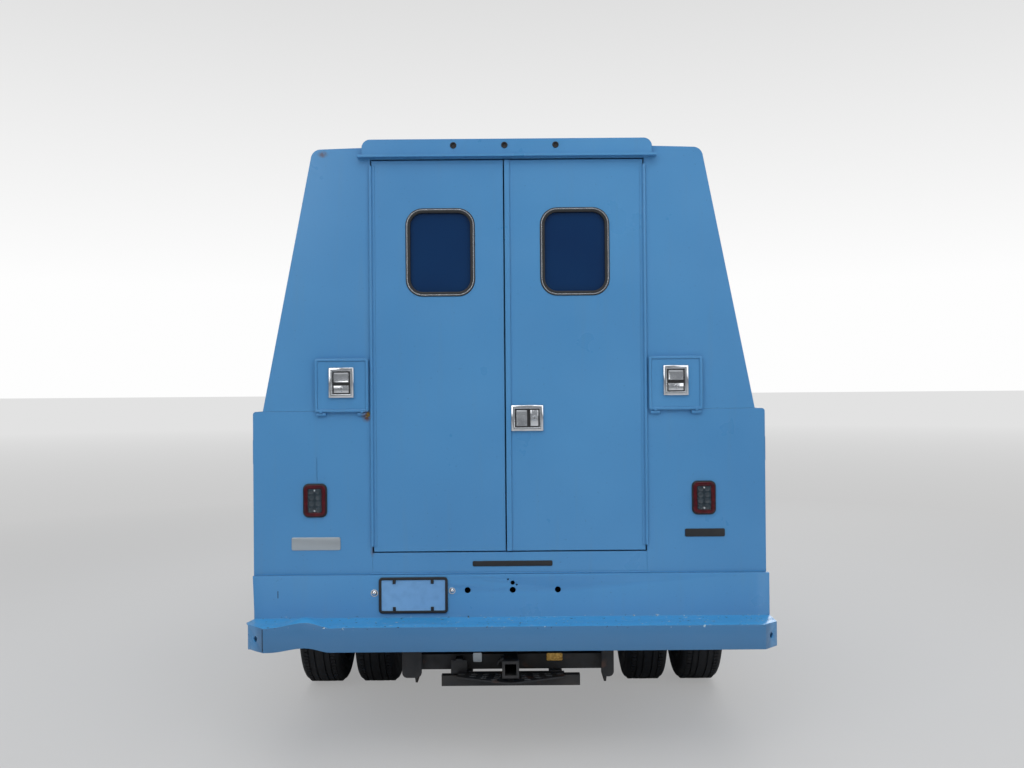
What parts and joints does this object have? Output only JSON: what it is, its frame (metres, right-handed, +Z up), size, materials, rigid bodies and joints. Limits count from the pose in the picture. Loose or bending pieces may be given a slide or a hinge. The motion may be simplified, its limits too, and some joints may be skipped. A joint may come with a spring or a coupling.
{
  "type": "service truck with an enclosed utility body",
  "caption": "Chassis cab truck with twin rear wheels and a tall enclosed utility body: rear double doors with windows, side lockers, step bumper and hitch receiver.",
  "frame": {"origin": "on the ground, in the middle of the truck's overall length and width", "axes": "+Y forward, +X to the vehicle's right, +Z up"},
  "size_m": [2.6, 5.993, 2.873],
  "materials": {
    "body_paint": "gloss blue paint, slightly weathered",
    "chassis_paint": "satin black, dusty",
    "engine_metal": "rough",
    "tank": "matte black",
    "exhaust_steel": "dull",
    "floor_plate": "tread plate",
    "glass": "tinted",
    "trim_black": "matte black",
    "seat_fabric": "woven",
    "lamp_clear": "clear",
    "lamp_red": "gloss red",
    "chrome": "polished",
    "tyre": "matte",
    "rim": "silver paint"
  },
  "bodies": {
    "chassis": {"body_floor": "floor_plate", "body_roof": "body_paint", "cab_glass": "glass", "cab_shell": "body_paint", "crossmembers": "chassis_paint", "dashboard": "trim_black", "driveline": "chassis_paint", "engine": "engine_metal", "exhaust": "exhaust_steel", "frame_rails": "chassis_paint", "front_axle": "chassis_paint", "front_bumper": "trim_black", "front_wall": "body_paint", "fuel_tank": "tank", "grille": "trim_black", "headlamps": "lamp_clear", "hitch": "chassis_paint", "radiator": "trim_black", "rear_axle": "chassis_paint", "rear_bumper": "body_paint", "rear_frame": "body_paint", "rear_step": "chassis_paint", "seat": "seat_fabric", "side_pack_left": "body_paint", "side_pack_right": "body_paint", "tail_lamps": "lamp_red", "upper_walls": "body_paint", "wings": "body_paint"},
    "knuckle_left": {"knuckle_left": "chassis_paint"},
    "front_wheel_left": {"front_tyre_left": "tyre", "front_rim_left": "rim"},
    "rear_wheels_left": {"rear_tyres_left": "tyre", "rear_rims_left": "rim"},
    "cab_door_left": {"cab_door_left": "body_paint", "cab_door_glass_left": "glass", "mirror_left": "trim_black"},
    "rear_door_left": {"rear_door_left": "body_paint", "rear_glass_left": "glass"},
    "small_door_left": {"small_door_left": "body_paint", "small_latch_left": "chrome"},
    "front_locker_door_left": {"front_locker_door_left": "body_paint"},
    "middle_locker_door_left": {"middle_locker_door_left": "body_paint"},
    "rear_locker_door_left": {"rear_locker_door_left": "body_paint"},
    "knuckle_right": {"knuckle_right": "chassis_paint"},
    "front_wheel_right": {"front_tyre_right": "tyre", "front_rim_right": "rim"},
    "rear_wheels_right": {"rear_tyres_right": "tyre", "rear_rims_right": "rim"},
    "cab_door_right": {"cab_door_right": "body_paint", "cab_door_glass_right": "glass", "mirror_right": "trim_black"},
    "rear_door_right": {"rear_door_right": "body_paint", "rear_glass_right": "glass", "rear_latch": "chrome"},
    "small_door_right": {"small_door_right": "body_paint", "small_latch_right": "chrome"},
    "front_locker_door_right": {"front_locker_door_right": "body_paint"},
    "middle_locker_door_right": {"middle_locker_door_right": "body_paint"},
    "rear_locker_door_right": {"rear_locker_door_right": "body_paint"},
    "bonnet": {"bonnet": "body_paint"}
  },
  "joints": [
    {"name": "steer_left", "type": "hinge", "parent": "chassis", "child": "knuckle_left", "pos_m": [-0.75, 2.0065, 0.404], "axis": [0, 0, 1], "range_deg": [-33, 33]},
    {"name": "front_spin_left", "type": "hinge", "parent": "knuckle_left", "child": "front_wheel_left", "pos_m": [-0.874, 2.0065, 0.404], "axis": [-1, 0, 0], "continuous": true},
    {"name": "rear_spin_left", "type": "hinge", "parent": "chassis", "child": "rear_wheels_left", "pos_m": [-0.918, -1.4865, 0.404], "axis": [-1, 0, 0], "continuous": true},
    {"name": "cab_door_left_hinge", "type": "hinge", "parent": "chassis", "child": "cab_door_left", "pos_m": [-1.006, 1.4725, 1], "axis": [0, 0, -1], "range_deg": [0, 65]},
    {"name": "rear_door_left_hinge", "type": "hinge", "parent": "chassis", "child": "rear_door_left", "pos_m": [-0.639, -2.7888, 1.8], "axis": [0, 0, -1], "range_deg": [0, 90]},
    {"name": "small_door_left_hinge", "type": "hinge", "parent": "chassis", "child": "small_door_left", "pos_m": [-0.777, -2.7908, 1.5985], "axis": [1, 0, 0], "range_deg": [0, 90]},
    {"name": "front_locker_left_hinge", "type": "hinge", "parent": "chassis", "child": "front_locker_door_left", "pos_m": [-1.2003, -0.0825, 1.1], "axis": [0, 0, -1], "range_deg": [0, 90]},
    {"name": "rear_locker_left_hinge", "type": "hinge", "parent": "chassis", "child": "rear_locker_door_left", "pos_m": [-1.2003, -2.7375, 1.1], "axis": [0, 0, 1], "range_deg": [0, 90]},
    {"name": "middle_locker_left_hinge", "type": "hinge", "parent": "chassis", "child": "middle_locker_door_left", "pos_m": [-1.2003, -1.4865, 1.568], "axis": [0, 1, 0], "range_deg": [0, 90]},
    {"name": "steer_right", "type": "hinge", "parent": "chassis", "child": "knuckle_right", "pos_m": [0.75, 2.0065, 0.404], "axis": [0, 0, 1], "range_deg": [-33, 33]},
    {"name": "front_spin_right", "type": "hinge", "parent": "knuckle_right", "child": "front_wheel_right", "pos_m": [0.874, 2.0065, 0.404], "axis": [-1, 0, 0], "continuous": true},
    {"name": "rear_spin_right", "type": "hinge", "parent": "chassis", "child": "rear_wheels_right", "pos_m": [0.918, -1.4865, 0.404], "axis": [-1, 0, 0], "continuous": true},
    {"name": "cab_door_right_hinge", "type": "hinge", "parent": "chassis", "child": "cab_door_right", "pos_m": [1.006, 1.4725, 1], "axis": [0, 0, 1], "range_deg": [0, 65]},
    {"name": "rear_door_right_hinge", "type": "hinge", "parent": "chassis", "child": "rear_door_right", "pos_m": [0.639, -2.7888, 1.8], "axis": [0, 0, 1], "range_deg": [0, 90]},
    {"name": "small_door_right_hinge", "type": "hinge", "parent": "chassis", "child": "small_door_right", "pos_m": [0.777, -2.7908, 1.5985], "axis": [1, 0, 0], "range_deg": [0, 90]},
    {"name": "front_locker_right_hinge", "type": "hinge", "parent": "chassis", "child": "front_locker_door_right", "pos_m": [1.2003, -0.0825, 1.1], "axis": [0, 0, 1], "range_deg": [0, 90]},
    {"name": "rear_locker_right_hinge", "type": "hinge", "parent": "chassis", "child": "rear_locker_door_right", "pos_m": [1.2003, -2.7375, 1.1], "axis": [0, 0, -1], "range_deg": [0, 90]},
    {"name": "middle_locker_right_hinge", "type": "hinge", "parent": "chassis", "child": "middle_locker_door_right", "pos_m": [1.2003, -1.4865, 1.568], "axis": [0, -1, 0], "range_deg": [0, 90]},
    {"name": "bonnet_hinge", "type": "hinge", "parent": "chassis", "child": "bonnet", "pos_m": [0, 1.6508, 1.316], "axis": [1, 0, 0], "range_deg": [0, 50]}
  ],
  "couplings": [
    {"joint": "steer_right", "follows": "steer_left", "ratio": 1}
  ]
}
